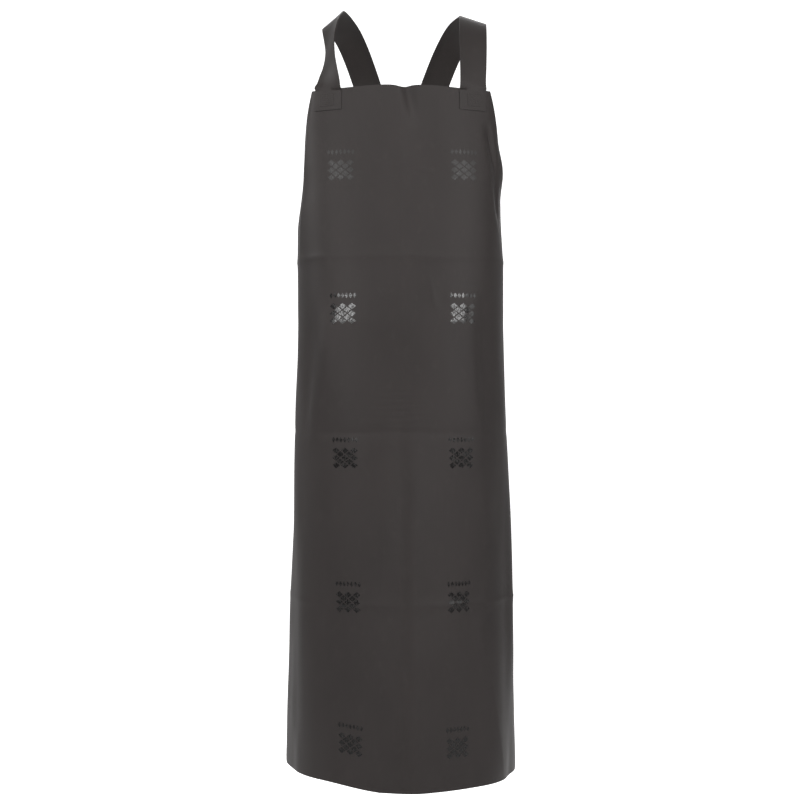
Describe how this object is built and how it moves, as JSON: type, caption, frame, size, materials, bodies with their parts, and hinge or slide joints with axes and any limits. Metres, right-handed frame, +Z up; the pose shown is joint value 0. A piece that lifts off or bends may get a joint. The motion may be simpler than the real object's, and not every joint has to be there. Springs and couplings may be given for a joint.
{
  "type": "butcher apron",
  "caption": "Long bib apron in dark rubberised film, shaped as worn, with wide straps that cross on the back and clip at the waist with side release buckles.",
  "frame": {"origin": "midway between the two places where the straps rest on the wearer's shoulders", "axes": "+Z up; the front of the apron faces -Y; +X is the wearer's left"},
  "size_m": [0.4132, 0.2983, 1.3584],
  "materials": {
    "panel_film": "satin, finely grained film",
    "strap_film": "satin, finely grained film",
    "buckle_plastic": "fine spark-eroded texture"
  },
  "bodies": {
    "apron": {"apron_panel": "panel_film", "left_shoulder_strap": "strap_film", "left_bib_patch": "panel_film", "left_side_tab": "strap_film", "left_waist_patch": "panel_film", "left_buckle_socket": "buckle_plastic", "right_shoulder_strap": "strap_film", "right_bib_patch": "panel_film", "right_side_tab": "strap_film", "right_waist_patch": "panel_film", "right_buckle_socket": "buckle_plastic"},
    "left_plug": {"left_buckle_plug": "buckle_plastic", "left_plug_prongs": "buckle_plastic", "left_strap_loop": "strap_film"},
    "left_adjuster": {"left_adjuster": "buckle_plastic"},
    "right_plug": {"right_buckle_plug": "buckle_plastic", "right_plug_prongs": "buckle_plastic", "right_strap_loop": "strap_film"},
    "right_adjuster": {"right_adjuster": "buckle_plastic"}
  },
  "joints": [
    {"name": "left_plug_release", "type": "slide", "parent": "apron", "child": "left_plug", "axis": [-0.4361, 0.2024, 0.8768], "range_m": [0, 0.045], "deforming": ["left_plug_prongs", "left_strap_loop"]},
    {"name": "left_adjuster_slide", "type": "slide", "parent": "apron", "child": "left_adjuster", "axis": [-0.4361, 0.2024, 0.8768], "range_m": [-0.03, 0.03], "deforming": ["left_strap_loop"]},
    {"name": "right_plug_release", "type": "slide", "parent": "apron", "child": "right_plug", "axis": [0.4361, 0.2024, 0.8768], "range_m": [0, 0.045], "deforming": ["right_plug_prongs", "right_strap_loop"]},
    {"name": "right_adjuster_slide", "type": "slide", "parent": "apron", "child": "right_adjuster", "axis": [0.4361, 0.2024, 0.8768], "range_m": [-0.03, 0.03], "deforming": ["right_strap_loop"]}
  ]
}
